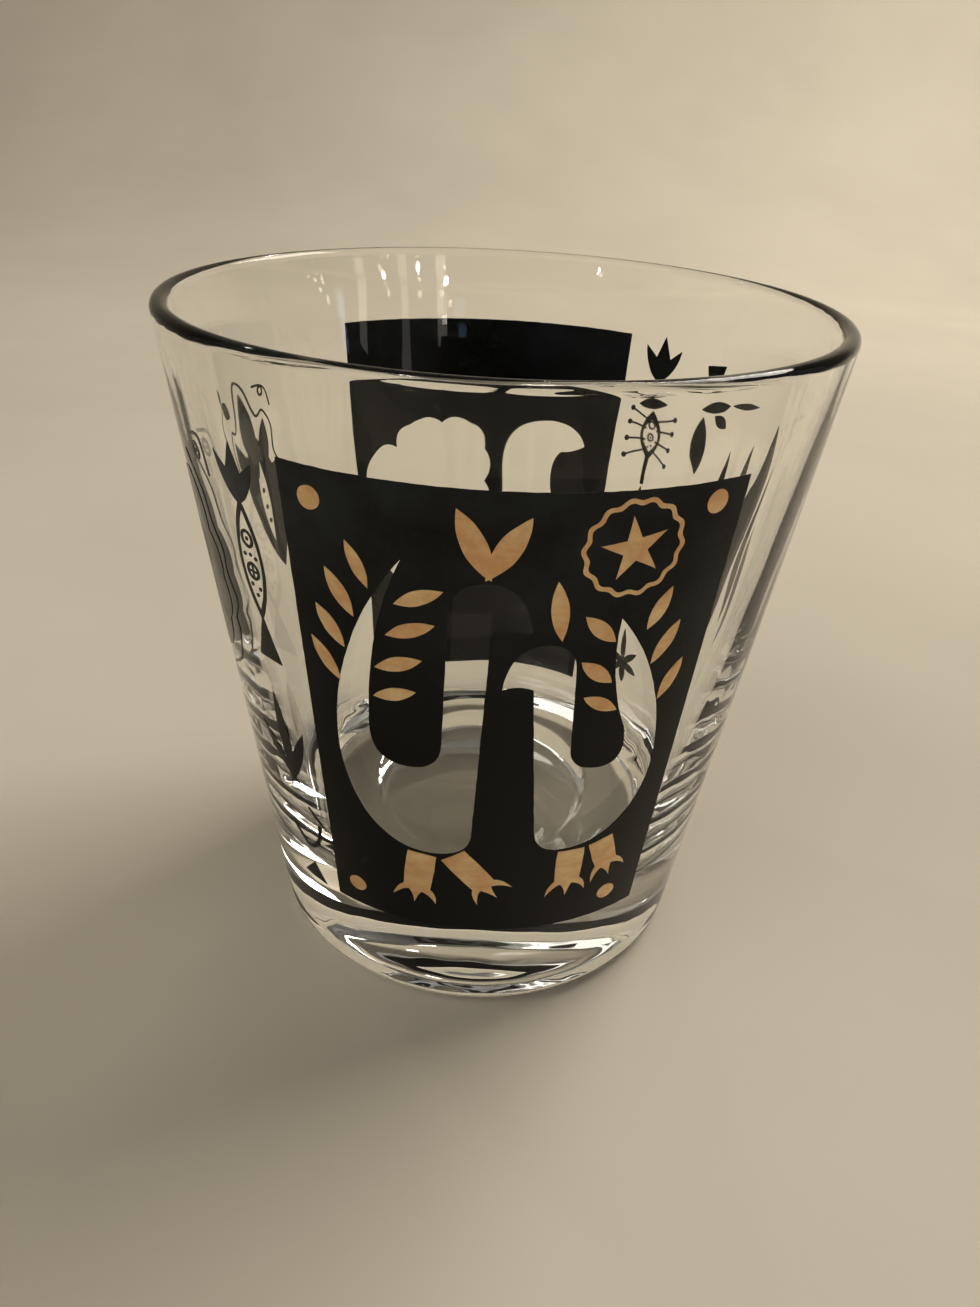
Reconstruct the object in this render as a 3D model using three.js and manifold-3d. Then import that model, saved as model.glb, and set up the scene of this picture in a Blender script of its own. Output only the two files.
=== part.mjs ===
// Shot glass with two printed panels, millimetres, +Z up.
// Origin: centre of the bearing ring under the base. The front panel faces -Y.
import * as THREE from 'three';
import { mergeVertices } from 'three/addons/utils/BufferGeometryUtils.js';
import { TessellateModifier } from 'three/addons/modifiers/TessellateModifier.js';
import Module from 'manifold-3d';

// Driving dimensions of the glass.
const HEIGHT = 56.3;
const RIM_RADIUS = 26.0;
const FOOT_RADIUS = 19.6; // the wall's line carried down to z = 0
const LIP_WALL = 1.3;
const HEEL_ROUND = 1.8;
const BEARING_INNER = 13.5;
const PUNT_DEPTH = 1.4;
const FLOOR_HEIGHT = 8.3;
const STEP_INNER = 9.4; // the floor's middle lies a step below the ledge around it
const STEP_OUTER = 11.4;
const STEP_RISE = 1.4;
const CORNER_TOP = 15.7; // height where the inside wall turns into the floor corner
const LOWER_WALL = 2.5; // wall thickness at the top of the corner
const WALL_TOP = HEIGHT - LIP_WALL / 2; // the rounded lip starts here
const WALL_LEAN = THREE.MathUtils.radToDeg(Math.atan((RIM_RADIUS - FOOT_RADIUS) / WALL_TOP));
const LATHE_SIDES = 60;
const WALL_RINGS = 6;

// Enamel layers: black lies on the glass, gold lies on the black.
const PRINT_GAP = 0.07;
const BLACK_THICKNESS = 0.2;
const GOLD_THICKNESS = 0.15;
const GOLD_OFFSET = PRINT_GAP + BLACK_THICKNESS + 0.1;
const FACET = 2.9; // longest facet across the wall
const TALL_FACET_RATIO = 5; // facets may be this much taller than wide
const SPLIT_ROUNDS = 20;
const CURVE_STEPS = 5;

// Panel outline: its half width follows the cone.
const PANEL_TOP = 50.0;
const REAR_PANEL_TOP = 49.6;
const PANEL_BOTTOM = 10.6;
const PANEL_TOP_HALF = 15.4;
const PANEL_BOTTOM_HALF = 13.2;

// Azimuths in degrees, anticlockwise from +X seen from above.
const FRONT = -90;
const REAR = 91.2;
const FRONT_PILLAR = -135;
const REAR_PILLAR = 47.5;
const REAR_POD = 45.8;
const LEFT_SIDE = 163;
const LEFT_CLOUD = 202;
const RIGHT_SIDE = 20;

const wasm = await Module();
wasm.setup();

const looks = {
  glass: { color: 0xdfe3dc, roughness: 0.04, metalness: 0, transparent: true, opacity: 0.35 },
  black: { color: 0x0c0c0e, roughness: 0.18, metalness: 0 },
  gold: { color: 0xb98a58, roughness: 0.45, metalness: 0.3 },
};

const group = new THREE.Group();

function addPiece(name, look, geometry) {
  const mesh = new THREE.Mesh(geometry, new THREE.MeshStandardMaterial(looks[look]));
  mesh.name = name;
  group.add(mesh);
}

function wallRadius(z) {
  return FOOT_RADIUS + (RIM_RADIUS - FOOT_RADIUS) * z / WALL_TOP;
}

// ---------------------------------------------------------------- glass body

// Points on an arc about (cr, cz); angles in degrees.
function arcPoints(cr, cz, radius, from, to, steps) {
  const points = [];
  for (let i = 0; i <= steps; i += 1) {
    const angle = THREE.MathUtils.degToRad(from + (to - from) * i / steps);
    points.push(new THREE.Vector2(cr + radius * Math.cos(angle), cz + radius * Math.sin(angle)));
  }
  return points;
}

// The wall is even near the lip and thickens more and more towards the base.
function innerRadius(z) {
  const depth = (WALL_TOP - z) / (WALL_TOP - CORNER_TOP);
  return wallRadius(z) - LIP_WALL - (LOWER_WALL - LIP_WALL) * depth ** 2;
}

// The inside from the lip to the middle of the floor.
function insidePoints() {
  const points = [];
  for (let i = 1; i < WALL_RINGS; i += 1) {
    const z = WALL_TOP + (CORNER_TOP - WALL_TOP) * i / WALL_RINGS;
    points.push(new THREE.Vector2(innerRadius(z), z));
  }
  const ledge = FLOOR_HEIGHT + STEP_RISE;
  const foot = innerRadius(CORNER_TOP);
  const lean = (innerRadius(CORNER_TOP + 0.1) - foot) / 0.1;
  const pole = foot - lean * (CORNER_TOP - ledge);
  const middle = (STEP_INNER + STEP_OUTER) / 2;
  const bottom = new THREE.Path();
  bottom.moveTo(foot, CORNER_TOP);
  bottom.quadraticCurveTo(pole, ledge, STEP_OUTER, ledge);
  bottom.bezierCurveTo(middle, ledge, middle, FLOOR_HEIGHT, STEP_INNER, FLOOR_HEIGHT);
  points.push(...bottom.getPoints(CURVE_STEPS));
  points.push(new THREE.Vector2(0, FLOOR_HEIGHT));
  return points;
}

function glassBody() {
  const lip = LIP_WALL / 2;
  const profile = [new THREE.Vector2(0, PUNT_DEPTH)];
  for (const part of [0.35, 0.7]) {
    profile.push(new THREE.Vector2(BEARING_INNER * part, PUNT_DEPTH * (1 - part * part)));
  }
  profile.push(new THREE.Vector2(BEARING_INNER, 0));
  const heelCentre = wallRadius(HEEL_ROUND) - HEEL_ROUND;
  profile.push(...arcPoints(heelCentre, HEEL_ROUND, HEEL_ROUND, -90, -WALL_LEAN, 4));
  profile.push(...arcPoints(RIM_RADIUS - lip, WALL_TOP, lip, -WALL_LEAN, 180 - WALL_LEAN, 6));
  profile.push(...insidePoints());
  const geometry = new THREE.LatheGeometry(profile, LATHE_SIDES);
  geometry.rotateX(Math.PI / 2);
  return geometry;
}

// ------------------------------------------------------------- flat outlines
// An outline is drawn on the unrolled wall: x runs along the wall, y is height.

function leaf(x0, y0, x1, y1, width) {
  const along = new THREE.Vector2(x1 - x0, y1 - y0).normalize();
  const mx = (x0 + x1) / 2;
  const my = (y0 + y1) / 2;
  const shape = new THREE.Shape();
  shape.moveTo(x0, y0);
  shape.quadraticCurveTo(mx + along.y * width, my - along.x * width, x1, y1);
  shape.quadraticCurveTo(mx - along.y * width, my + along.x * width, x0, y0);
  return shape;
}

function disc(x, y, radius, hole = 0) {
  const shape = new THREE.Shape();
  shape.absarc(x, y, radius, 0, 2 * Math.PI);
  if (hole > 0) {
    const inner = new THREE.Path();
    inner.absarc(x, y, hole, 0, 2 * Math.PI);
    shape.holes.push(inner);
  }
  return shape;
}

// A line of even width through the given points.
function stroke(points, width, steps = 10) {
  const curve = new THREE.SplineCurve(points.map(([x, y]) => new THREE.Vector2(x, y)));
  const near = [];
  const far = [];
  for (let i = 0; i <= steps; i += 1) {
    const point = curve.getPoint(i / steps);
    const tangent = curve.getTangent(i / steps);
    const side = new THREE.Vector2(-tangent.y, tangent.x).multiplyScalar(width / 2);
    near.push(point.clone().add(side));
    far.unshift(point.clone().sub(side));
  }
  return new THREE.Shape([...near, ...far]);
}

function polygon(...points) {
  return new THREE.Shape(points.map(([x, y]) => new THREE.Vector2(x, y)));
}

// A closed outline of outward bulges between the given notches.
function scalloped(notches, bulge) {
  const shape = new THREE.Shape();
  shape.moveTo(...notches[0]);
  notches.forEach(([x, y], i) => {
    const [nx, ny] = notches[(i + 1) % notches.length];
    const along = new THREE.Vector2(nx - x, ny - y).normalize();
    shape.quadraticCurveTo((x + nx) / 2 - along.y * bulge, (y + ny) / 2 + along.x * bulge, nx, ny);
  });
  return shape;
}

function star(x, y, points, outer, inner, turn) {
  const corners = [];
  for (let i = 0; i < 2 * points; i += 1) {
    const angle = turn + Math.PI * i / points;
    const reach = i % 2 === 0 ? outer : inner;
    corners.push([x + reach * Math.cos(angle), y + reach * Math.sin(angle)]);
  }
  return polygon(...corners);
}

function wavyRing(x, y, radius, band, waves, ripple) {
  const edge = (offset) => {
    const points = [];
    for (let i = 0; i < 4 * waves; i += 1) {
      const angle = 2 * Math.PI * i / (4 * waves);
      const reach = radius + offset + ripple * Math.cos(waves * angle);
      points.push(new THREE.Vector2(x + reach * Math.cos(angle), y + reach * Math.sin(angle)));
    }
    return points;
  };
  const shape = new THREE.Shape(edge(band / 2));
  shape.holes.push(new THREE.Path(edge(-band / 2)));
  return shape;
}

// A leg with three claws; (x, y) is the middle of its top, tilt turns it towards +x.
function foot(x, y, length, halfWidth, tilt) {
  const w = halfWidth;
  const sole = -length;
  const local = [
    [-w, 0], [-0.95 * w, sole], [-1.6 * w, sole - 1.7], [-0.5 * w, sole - 0.5],
    [0, sole - 1.9], [0.4 * w, sole - 0.5], [1.5 * w, sole - 1.6], [0.95 * w, sole], [w, 0],
  ];
  const cos = Math.cos(tilt);
  const sin = Math.sin(tilt);
  return polygon(...local.map(([u, v]) => [x + u * cos - v * sin, y + u * sin + v * cos]));
}

// ------------------------------------------------------ wrapping on the wall

function asSolid(geometry) {
  geometry.deleteAttribute('normal');
  geometry.deleteAttribute('uv');
  const merged = mergeVertices(geometry, 1e-4);
  return new wasm.Manifold(new wasm.Mesh({
    numProp: 3,
    vertProperties: merged.attributes.position.array,
    triVerts: new Uint32Array(merged.index.array),
  }));
}

function asGeometry(solid) {
  const { vertProperties, triVerts } = solid.getMesh();
  const geometry = new THREE.BufferGeometry();
  geometry.setAttribute('position', new THREE.BufferAttribute(new Float32Array(vertProperties), 3));
  geometry.setIndex(new THREE.BufferAttribute(new Uint32Array(triVerts), 1));
  return geometry;
}

// Joins flat outlines, splits long facets and bends the layer round the cone.
function printed(shapes, azimuth, offset, thickness) {
  const options = { depth: thickness, bevelEnabled: false, curveSegments: CURVE_STEPS };
  const layers = shapes.map((shape) => asSolid(new THREE.ExtrudeGeometry(shape, options)));
  const joined = asGeometry(layers.reduce((whole, layer) => whole.add(layer)));
  joined.scale(1, 1 / TALL_FACET_RATIO, 1);
  const split = new TessellateModifier(FACET, SPLIT_ROUNDS).modify(joined.toNonIndexed());
  split.scale(1, TALL_FACET_RATIO, 1);
  const geometry = mergeVertices(split, 1e-4);
  const position = geometry.attributes.position;
  const centre = THREE.MathUtils.degToRad(azimuth);
  for (let i = 0; i < position.count; i += 1) {
    const z = position.getY(i);
    const angle = centre + position.getX(i) / wallRadius(z);
    const reach = wallRadius(z) + offset + position.getZ(i);
    position.setXYZ(i, reach * Math.cos(angle), reach * Math.sin(angle), z);
  }
  return geometry;
}

function addBlack(name, azimuth, ...shapes) {
  addPiece(name, 'black', printed(shapes, azimuth, PRINT_GAP, BLACK_THICKNESS));
}

function addGold(name, azimuth, ...shapes) {
  addPiece(name, 'gold', printed(shapes, azimuth, GOLD_OFFSET, GOLD_THICKNESS));
}

// ------------------------------------------------------------- black panels

function panelOutline(top) {
  return polygon(
    [-PANEL_BOTTOM_HALF, PANEL_BOTTOM], [PANEL_BOTTOM_HALF, PANEL_BOTTOM],
    [PANEL_TOP_HALF, top], [-PANEL_TOP_HALF, top]);
}

// A plain long-necked bird facing right: round head, small beak, bowl of a body, crescent tail.
function tallBird() {
  const bird = new THREE.Path();
  bird.moveTo(-6.9, 44.9);
  bird.bezierCurveTo(-9.6, 41.5, -12.1, 35.6, -12.1, 29.8);
  bird.bezierCurveTo(-12.1, 24, -9.2, 19.2, -4.8, 19.2);
  bird.quadraticCurveTo(-1.8, 19.2, -1.7, 21.6);
  bird.lineTo(-1.1, 40.1);
  bird.quadraticCurveTo(0.4, 40.5, 1.5, 40.2);
  bird.quadraticCurveTo(1, 43.8, -1.4, 43.8);
  bird.quadraticCurveTo(-3.9, 43.8, -3.9, 41);
  bird.lineTo(-4.1, 30.2);
  bird.quadraticCurveTo(-4.3, 27.9, -6.6, 27.9);
  bird.quadraticCurveTo(-9.3, 27.9, -9.4, 31);
  bird.quadraticCurveTo(-9.4, 39.5, -6.9, 44.9);
  return bird;
}

// Its shorter companion facing left.
function shortBird() {
  const bird = new THREE.Path();
  bird.moveTo(-0.2, 35.6);
  bird.quadraticCurveTo(0.9, 36.1, 1.9, 35.6);
  bird.lineTo(3, 22);
  bird.quadraticCurveTo(3.2, 19.7, 5.4, 19.7);
  bird.bezierCurveTo(9.2, 19.7, 12.1, 23.2, 12.1, 27.6);
  bird.bezierCurveTo(12.1, 32.8, 10, 38, 7.3, 41);
  bird.quadraticCurveTo(7, 36, 8.9, 31.5);
  bird.quadraticCurveTo(9.7, 28, 7.4, 28);
  bird.quadraticCurveTo(5.1, 28, 5, 30.2);
  bird.lineTo(4.7, 36.8);
  bird.quadraticCurveTo(4.6, 39.3, 2.6, 39.3);
  bird.quadraticCurveTo(0.2, 39.3, -0.2, 35.6);
  return bird;
}

// Bird of the rear panel, facing towards -x.
function rearBird() {
  const bird = new THREE.Path();
  bird.moveTo(-11.3, 37.8);
  bird.quadraticCurveTo(-10.6, 40, -7.4, 40);
  bird.bezierCurveTo(-4.2, 40, -2.2, 38.8, -2.1, 35);
  bird.lineTo(-2.7, 26);
  bird.quadraticCurveTo(-2.9, 22.4, -6, 22.4);
  bird.bezierCurveTo(-10, 22.4, -11.6, 23.6, -11.3, 26.4);
  bird.bezierCurveTo(-11, 28.8, -8, 30, -7.8, 33.6);
  bird.quadraticCurveTo(-7.7, 36, -8.7, 36.8);
  bird.quadraticCurveTo(-10, 36.9, -11.3, 37.8);
  return bird;
}

// Lumpy tree crown of the rear panel.
function rearCrown() {
  const notches = [
    [-0.4, 24.4], [-0.6, 28.8], [-0.2, 33], [-0.1, 36.6], [1.5, 39.3], [4.9, 39.3], [8.4, 39.2],
    [9.9, 36.9], [12.6, 36.4], [13, 32.6], [12.7, 28.6], [11.2, 24], [7.6, 21.5], [2.5, 21.5],
  ];
  return scalloped(notches, 1.3);
}

function addPanels() {
  const front = panelOutline(PANEL_TOP);
  front.holes.push(tallBird(), shortBird());
  addBlack('front_panel_black', FRONT, front);
  const rear = panelOutline(REAR_PANEL_TOP);
  rear.holes.push(rearBird(), rearCrown());
  addBlack('rear_panel_black', REAR, rear);
}

// ---------------------------------------------------------------- front gold

function addLeafSprays() {
  const sprays = {
    tall_bird_outer_leaf: [
      [-9.1, 42.4, -10.6, 45.6, 0.95], [-10.2, 40, -12.2, 43.3, 1.15],
      [-11, 37.3, -13.1, 40.3, 1.15], [-11.5, 34.4, -13.7, 37.5, 1.1],
    ],
    tall_bird_inner_leaf: [
      [-7.4, 41.6, -4.2, 43, 1.1], [-8, 39.1, -4.7, 40.4, 1.1],
      [-8.8, 36.3, -5.5, 37.5, 1.15], [-9, 33.8, -5.9, 34.8, 1.05],
    ],
    short_bird_inner_leaf: [
      [7.1, 39.2, 4.8, 41.4, 1.1], [7.3, 35.8, 4.9, 37.8, 1.15], [8, 33.3, 5.4, 34.8, 1.1],
    ],
    short_bird_outer_leaf: [
      [9.3, 39.8, 10.7, 42.9, 1.1], [10.1, 36.8, 11.9, 40.1, 1.1], [11.3, 33.4, 12.9, 36.7, 1.1],
    ],
  };
  for (const [name, leaves] of Object.entries(sprays)) {
    leaves.forEach((values, i) => addGold(`${name}_${i + 1}`, FRONT, leaf(...values)));
  }
}

function addFrontGold() {
  const dots = [[-13, 47.9], [12.9, 48.6], [-11.1, 13.1], [10.1, 13.1]];
  dots.forEach(([x, y], i) => addGold(`front_corner_dot_${i + 1}`, FRONT, disc(x, y, 0.82)));
  const crestPair = [leaf(-1.3, 44, -3.6, 48.8, 1.6), leaf(-1.7, 44, 0.9, 48.4, 1.6)];
  addGold('tall_bird_crest', FRONT, ...crestPair);
  addGold('short_bird_crest', FRONT, leaf(3.4, 39.6, 2.8, 44.1, 1.2));
  addGold('sun_ring', FRONT, wavyRing(7.4, 46.1, 3.2, 0.34, 14, 0.11));
  addGold('sun_star', FRONT, star(7.4, 46.1, 5, 2.3, 0.85, 1.75));
  addLeafSprays();
  addGold('tall_bird_foot_1', FRONT, foot(-5.4, 19, 4.0, 1.15, -0.1));
  addGold('tall_bird_foot_2', FRONT, foot(-3, 19.3, 4.0, 1.1, 0.66));
  addGold('short_bird_foot_1', FRONT, foot(6.2, 19.5, 3.5, 1.1, 0));
  addGold('short_bird_foot_2', FRONT, foot(8.7, 19.9, 3.0, 1.05, 0.28));
}

// Gold of the rear panel: corner dots, the bird's feet and the tree's trunk.
function addRearGold() {
  const dots = [[-12.9, 48.1], [12.9, 48.1], [-11.1, 12.8], [11.1, 12.8]];
  dots.forEach(([x, y], i) => addGold(`rear_corner_dot_${i + 1}`, REAR, disc(x, y, 0.82)));
  addGold('rear_tree_trunk', REAR, polygon([4.7, 12.6], [6.7, 12.6], [6.2, 20.4], [5.2, 20.4]));
}

// --------------------------------------------------------- side decorations

function tulip() {
  const shape = new THREE.Shape();
  shape.moveTo(0, 45.6);
  shape.quadraticCurveTo(1.6, 46.4, 2, 48.9);
  shape.lineTo(0.7, 47.9);
  shape.lineTo(0, 49.9);
  shape.lineTo(-0.9, 47.9);
  shape.lineTo(-2.1, 48.9);
  shape.quadraticCurveTo(-1.7, 46.4, 0, 45.6);
  return shape;
}

// An upright pointed oval ring between two heights.
function podRing(bottom, top, width, band) {
  const shape = leaf(0, bottom, 0, top, width);
  shape.holes.push(leaf(0, bottom + 3 * band, 0, top - 3 * band, width - 2 * band));
  return shape;
}

function addPillars() {
  const band = 0.28;
  const waist = stroke([[-1.2, 41.7], [0, 41.6], [1.2, 41.7]], band);
  addBlack('front_pillar_flower', FRONT_PILLAR, tulip(), podRing(36.6, 46.1, 2.7, band), waist,
    disc(0, 43.1, 0.7, 0.4), stroke([[0, 42.5], [0, 41.6], [0, 41.2]], band), disc(0, 40.6, 0.7, 0.4),
    polygon([-1.3, 33.3], [1.3, 33.3], [0, 37.1]));
  addBlack('front_pillar_fan', FRONT_PILLAR, leaf(0, 21.4, -0.7, 30, 1.3),
    leaf(0.6, 21.2, -3.5, 25.8, 0.9), leaf(-0.5, 21, 2.1, 27.2, 1.1));
  addBlack('front_pillar_hook', FRONT_PILLAR,
    stroke([[-1.8, 16.1], [0.2, 14.4], [1.6, 15.6], [2.1, 17.6]], 0.4));
  addBlack('front_pillar_base', FRONT_PILLAR, polygon([-1.3, 10.4], [1.6, 10.4], [0.4, 12.4]));
  const stem = stroke([[0, 46], [-0.2, 44.9], [-0.5, 43.7]], 0.35, 3);
  addBlack('rear_pillar_tulip', REAR_PILLAR, tulip(), stem, leaf(-2.25, 43.9, 1.3, 43.2, 1));
  const pins = [];
  for (const side of [-1, 1]) {
    for (const [y, rise] of [[42, 0.7], [41.1, 0.2], [40, -0.4], [39, -1.1]]) {
      pins.push(stroke([[side * 0.6, y], [side * 1.7, y + rise / 2], [side * 2.7, y + rise]], 0.18, 2));
      pins.push(disc(side * 2.7, y + rise, 0.27));
    }
  }
  const stalk = stroke([[0, 38.5], [0.1, 36.8], [0, 35.4]], 0.5, 4);
  addBlack('rear_pillar_pod', REAR_POD, podRing(38, 42.9, 2.4, 0.28), ...pins, stalk);
  addBlack('rear_pillar_stand', REAR_POD, polygon([-1.4, 31.6], [1.4, 31.6], [0, 35.2]));
}

// Left side: a hand-shaped leaf with a contour line, a sprig and a round cloud.
function addLeftSide() {
  const palm = leaf(-1.7, 28.6, -0.4, 42.4, 5);
  palm.holes.push(leaf(-1, 31.4, -0.7, 40, 1.5));
  addBlack('hand_leaf', LEFT_SIDE, palm, leaf(-2, 36.8, -3.4, 38.7, 1.1),
    leaf(-1.6, 38, -2.7, 42.9, 1.5), leaf(-0.4, 37.8, 0.1, 45.7, 1.9), leaf(0.6, 38, 2.3, 42, 1.3));
  addBlack('hand_leaf_contour', LEFT_SIDE, stroke([
    [-4.7, 38], [-3.6, 39.6], [-3.9, 42], [-2.8, 43.6], [-1.6, 43.4], [-0.4, 46.2],
    [0.7, 46.4], [1.5, 42.8], [2.8, 43], [3.1, 41.4], [2.1, 38.8],
  ], 0.2, 40));
  addBlack('side_sprig', LEFT_SIDE, leaf(2.4, 44.3, 5.3, 46, 1.3), leaf(5.1, 45.9, 5.9, 47.4, 0.7),
    stroke([[5.2, 45.9], [6.4, 44.2], [5.2, 42], [5, 40.4]], 0.35, 6));
  addBlack('side_small_hook', LEFT_SIDE, disc(-3.05, 45.3, 0.5, 0.28),
    stroke([[-1.8, 45.9], [-3, 45.8], [-4.1, 45.2], [-4.5, 43.7]], 0.2));
  addBlack('side_hook', LEFT_CLOUD, stroke([[3.7, 48.7], [5.5, 49.1], [6.1, 48.3], [6.3, 46.4]], 0.25));
  addBlack('side_hook_ring', LEFT_CLOUD, disc(4.8, 47.8, 0.65, 0.35));
  const notches = [
    [0, 30], [-3.6, 33.4], [-4.4, 38.6], [-2.6, 43], [1, 45.4],
    [3.1, 41.3], [4.1, 37.8], [3.3, 34],
  ];
  addBlack('side_cloud', LEFT_CLOUD, scalloped(notches, 1.5));
  addBlack('side_cloud_contour', LEFT_CLOUD, stroke([
    [0.2, 28.4], [3.6, 30.6], [5, 33.8], [4.9, 34.9], [5.9, 36.6], [5.2, 38.8],
    [5.4, 40.6], [4.4, 42.4], [3.8, 44.8], [1.6, 47],
  ], 0.22, 30));
}

// Six leaves round a point, one of them longer.
function burst(x, y, reach, width) {
  const leaves = [];
  for (let i = 0; i < 6; i += 1) {
    const angle = THREE.MathUtils.degToRad(60 * i + 15);
    const cos = Math.cos(angle);
    const sin = Math.sin(angle);
    const far = reach * (i === 1 ? 1.7 : 1);
    leaves.push(leaf(x - 0.3 * cos, y - 0.3 * sin, x + far * cos, y + far * sin, width));
  }
  return leaves;
}

// Right side: tall blades, loose leaves and a burst of leaves low on the wall.
function addRightSide() {
  const blades = [
    [-5.4, 21.5, -6.9, 46.3, 2.6], [-2.5, 20, -4.2, 43.6, 2.2], [-8.2, 28, -8.7, 43.2, 1.1],
    [-9.6, 26, -10.1, 38.3, 1.3], [-0.3, 31, -0.1, 41.9, 1.1],
  ];
  blades.forEach((values, i) => addBlack(`side_blade_${i + 1}`, RIGHT_SIDE, leaf(...values)));
  const leaves = [
    [4.5, 43.8, 4.2, 38.4, 1.3], [3.3, 44.3, 1.7, 43.6, 1.1], [4.9, 44.4, 1.8, 45.65, 1],
    [1.5, 45.75, -3, 46.8, 0.6],
  ];
  leaves.forEach((values, i) => addBlack(`side_loose_leaf_${i + 1}`, RIGHT_SIDE, leaf(...values)));
  addBlack('side_blunt_leaf', RIGHT_SIDE, polygon([5.7, 46.2], [6.5, 48.3], [4.2, 48.7], [4.6, 46.4]));
  addBlack('side_burst', RIGHT_SIDE, ...burst(6.3, 15.6, 2.4, 0.8));
}

addPiece('glass_body', 'glass', glassBody());
addPanels();
addFrontGold();
addRearGold();
addPillars();
addLeftSide();
addRightSide();

export default group;
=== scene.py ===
"""Printed shot glass: fine curved meshes and materials. Metres, +Z up, front panel at -Y."""

import math

import bpy
import numpy as np
from mathutils import Matrix, Vector, noise
from mathutils.geometry import delaunay_2d_cdt


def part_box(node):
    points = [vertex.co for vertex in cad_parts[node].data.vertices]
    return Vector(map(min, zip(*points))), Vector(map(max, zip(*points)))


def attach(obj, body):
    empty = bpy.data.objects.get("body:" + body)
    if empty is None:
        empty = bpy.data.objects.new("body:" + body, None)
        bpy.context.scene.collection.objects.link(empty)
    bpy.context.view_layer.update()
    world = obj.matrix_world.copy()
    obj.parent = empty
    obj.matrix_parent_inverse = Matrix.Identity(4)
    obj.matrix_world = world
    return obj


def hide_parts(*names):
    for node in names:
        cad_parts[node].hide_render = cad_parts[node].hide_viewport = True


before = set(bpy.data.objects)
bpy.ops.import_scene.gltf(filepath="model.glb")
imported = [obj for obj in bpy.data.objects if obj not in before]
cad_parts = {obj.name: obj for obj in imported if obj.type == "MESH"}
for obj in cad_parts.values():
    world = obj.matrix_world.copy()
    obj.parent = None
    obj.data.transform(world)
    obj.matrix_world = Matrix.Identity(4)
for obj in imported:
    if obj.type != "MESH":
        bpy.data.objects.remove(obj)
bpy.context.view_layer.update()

# Outlines are drawn in millimetres on the unrolled wall; meshes are in metres.
MM = 0.001
glass_low, glass_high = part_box("glass_body")
HEIGHT = glass_high.z / MM
RIM_RADIUS = glass_high.x / MM
FOOT_RADIUS = 19.6
LIP_WALL = 1.3
HEEL_ROUND = 1.8
BEARING_INNER = 13.5
PUNT_DEPTH = 1.4
FLOOR_HEIGHT = 8.3
STEP_INNER = 9.4
STEP_OUTER = 11.4
STEP_RISE = 1.4
CORNER_TOP = 15.7
LOWER_WALL = 2.5  # at the top of the corner
WALL_TOP = HEIGHT - LIP_WALL / 2
WALL_LEAN = math.degrees(math.atan((RIM_RADIUS - FOOT_RADIUS) / WALL_TOP))
INSIDE_SWAY = 0.05  # how far the inside of the pressed wall strays from true
LATHE_SIDES = 288
WALL_RINGS = 44

# Fired enamel: radial offsets of each layer's inner and outer face from the wall.
BLACK_LAYER = (-0.02, 0.045)
GOLD_LAYER = (0.025, 0.085)
PRINT_STEP = 0.22  # spacing of outline points
CURVE_STEP = 0.9  # spacing of the points that carry a layer round the wall
EDGE_WOBBLE = 0.035
DOT_RADIUS = 0.82

# Panels and the azimuths (degrees from +X) that the drawings are centred on.
PANEL_TOP, REAR_PANEL_TOP, PANEL_BOTTOM = 50.0, 49.6, 10.6
PANEL_TOP_HALF, PANEL_BOTTOM_HALF = 15.4, 13.2
FRONT, REAR = -90, 91.2
FRONT_PILLAR, REAR_PILLAR, REAR_POD = -135, 47.5, 45.8
LEFT_SIDE, LEFT_CLOUD, RIGHT_SIDE = 163, 202, 20


def wall_radius(z):
    """Outer radius at one height or at an array of heights."""
    return FOOT_RADIUS + (RIM_RADIUS - FOOT_RADIUS) * z / WALL_TOP


# ------------------------------------------------------------------ outlines
# A loop is a closed list of (x, y); a shape is (outer loop, [hole loops]).


class Pen:
    """Draws a loop from lines and Bezier curves, as a drawing program does."""

    def __init__(self, x, y):
        self.points = [(x, y)]

    def line(self, x, y):
        self.points.append((x, y))
        return self

    def quad(self, cx, cy, x, y):
        x0, y0 = self.points[-1]
        ax, ay = x0 + (cx - x0) * 2 / 3, y0 + (cy - y0) * 2 / 3
        bx, by = x + (cx - x) * 2 / 3, y + (cy - y) * 2 / 3
        return self.cubic(ax, ay, bx, by, x, y)

    def cubic(self, ax, ay, bx, by, x, y, steps=24):
        x0, y0 = self.points[-1]
        for i in range(1, steps + 1):
            t = i / steps
            u = 1 - t
            w = (u * u * u, 3 * u * u * t, 3 * u * t * t, t * t * t)
            px = w[0] * x0 + w[1] * ax + w[2] * bx + w[3] * x
            py = w[0] * y0 + w[1] * ay + w[2] * by + w[3] * y
            self.points.append((px, py))
        return self

    def close(self):
        if math.dist(self.points[0], self.points[-1]) < 1e-6:
            self.points.pop()
        return self.points


def leaf(x0, y0, x1, y1, width):
    """A leaf pointed at both ends."""
    length = math.dist((x0, y0), (x1, y1))
    ax, ay = (x1 - x0) / length, (y1 - y0) / length
    mx, my = (x0 + x1) / 2, (y0 + y1) / 2
    pen = Pen(x0, y0)
    pen.quad(mx + ay * width, my - ax * width, x1, y1)
    pen.quad(mx - ay * width, my + ax * width, x0, y0)
    return pen.close(), []


def circle(x, y, radius, steps=40):
    turns = [2 * math.pi * i / steps for i in range(steps)]
    return [(x + radius * math.cos(a), y + radius * math.sin(a)) for a in turns]


def disc(x, y, radius, hole=0):
    return circle(x, y, radius), [circle(x, y, hole)] if hole else []


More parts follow.
